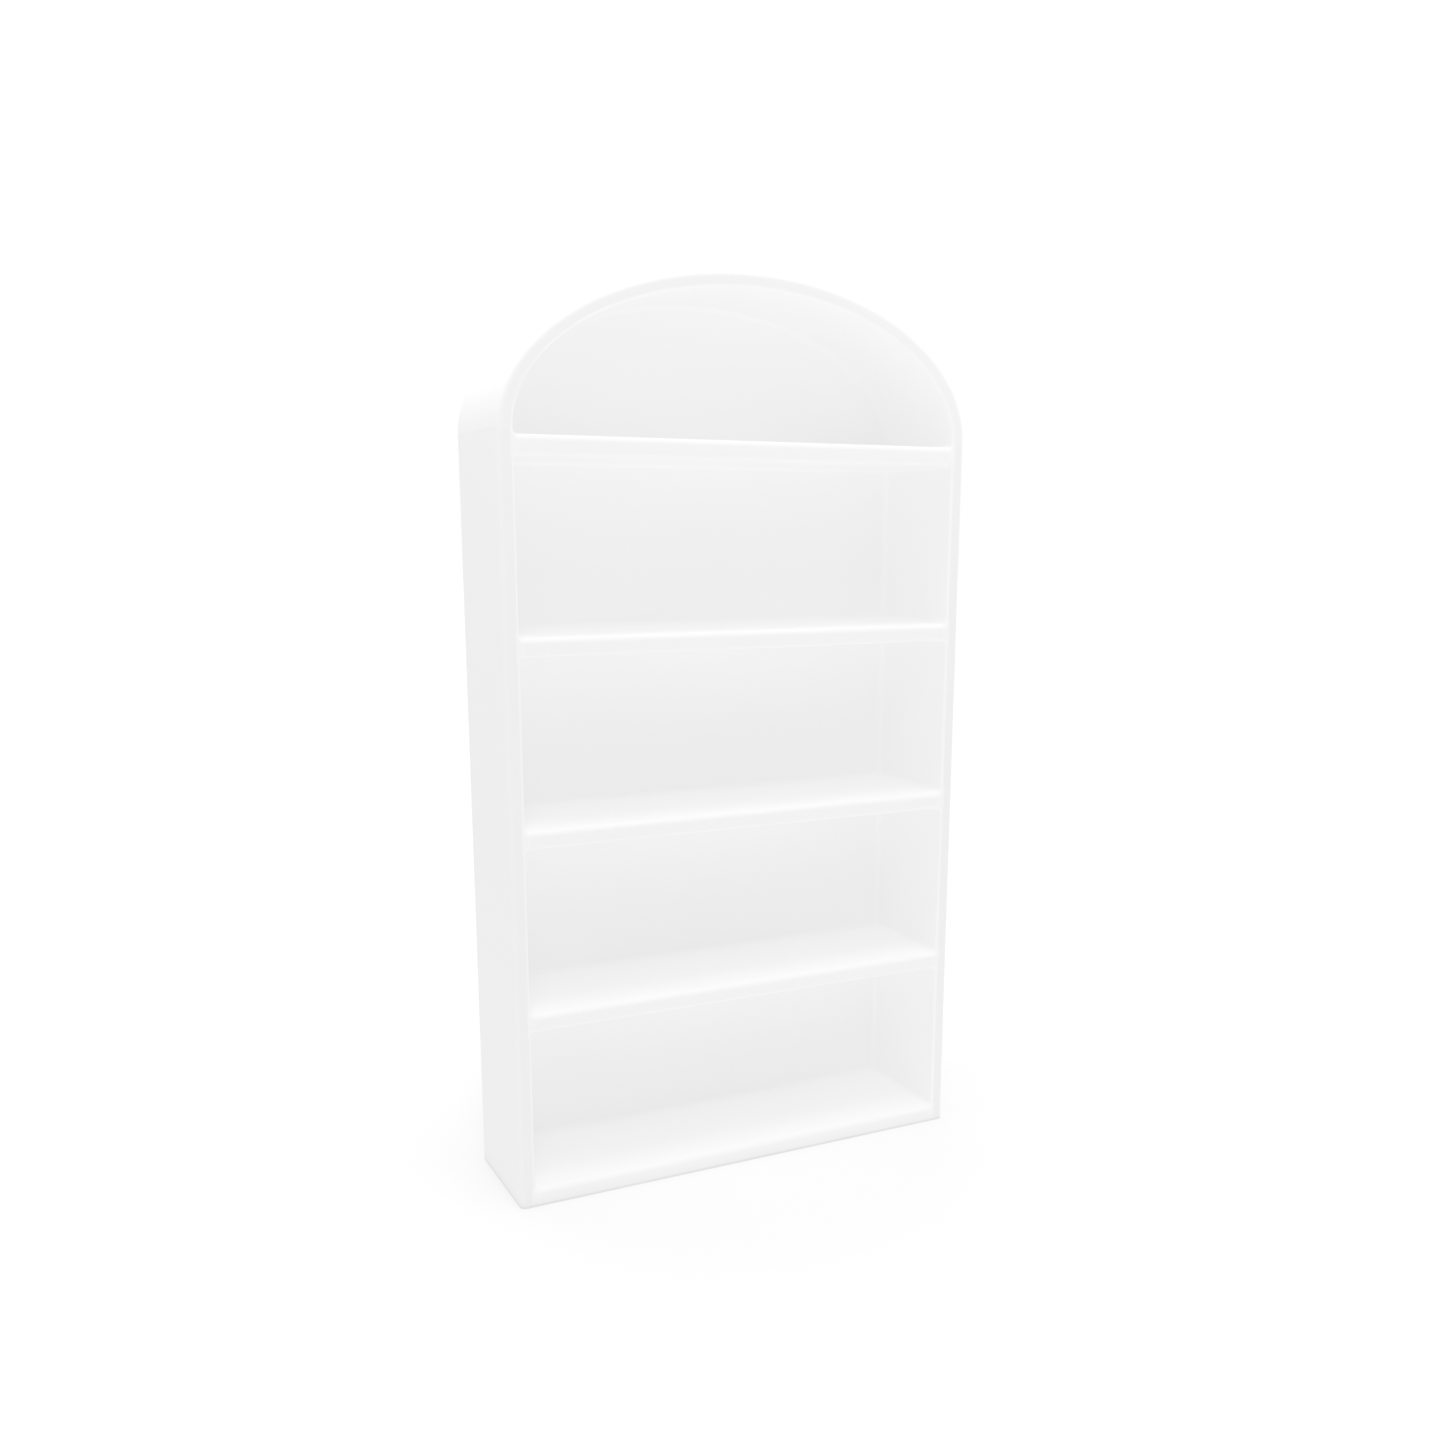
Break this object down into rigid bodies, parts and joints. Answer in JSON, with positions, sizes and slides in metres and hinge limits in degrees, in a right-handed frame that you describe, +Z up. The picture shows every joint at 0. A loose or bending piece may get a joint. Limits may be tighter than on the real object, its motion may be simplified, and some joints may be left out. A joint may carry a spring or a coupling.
{
  "type": "miniature bookcase",
  "caption": "Arched dolls' house bookcase: straight sides under a half-elliptical top, inset back panel and fixed shelves with rounded front edges, painted white.",
  "frame": {"origin": "on the floor, under the middle of the bookcase's width and depth", "axes": "+Z up, +Y from the open front to the back panel, +X to the right as seen from the front"},
  "size_m": [0.09, 0.0234, 0.1612],
  "materials": {
    "white_paint": "smooth satin white paint over fine-grained wood",
    "dowel_wood": "bare round dowel, hidden in the joints"
  },
  "bodies": {
    "root": {"left_side": "white_paint", "right_side": "white_paint", "arch_top": "white_paint", "base_panel": "white_paint", "shelf_1": "white_paint", "shelf_2": "white_paint", "shelf_3": "white_paint", "shelf_4": "white_paint", "back_panel": "white_paint", "arch_dowels": "dowel_wood"}
  },
  "joints": []
}
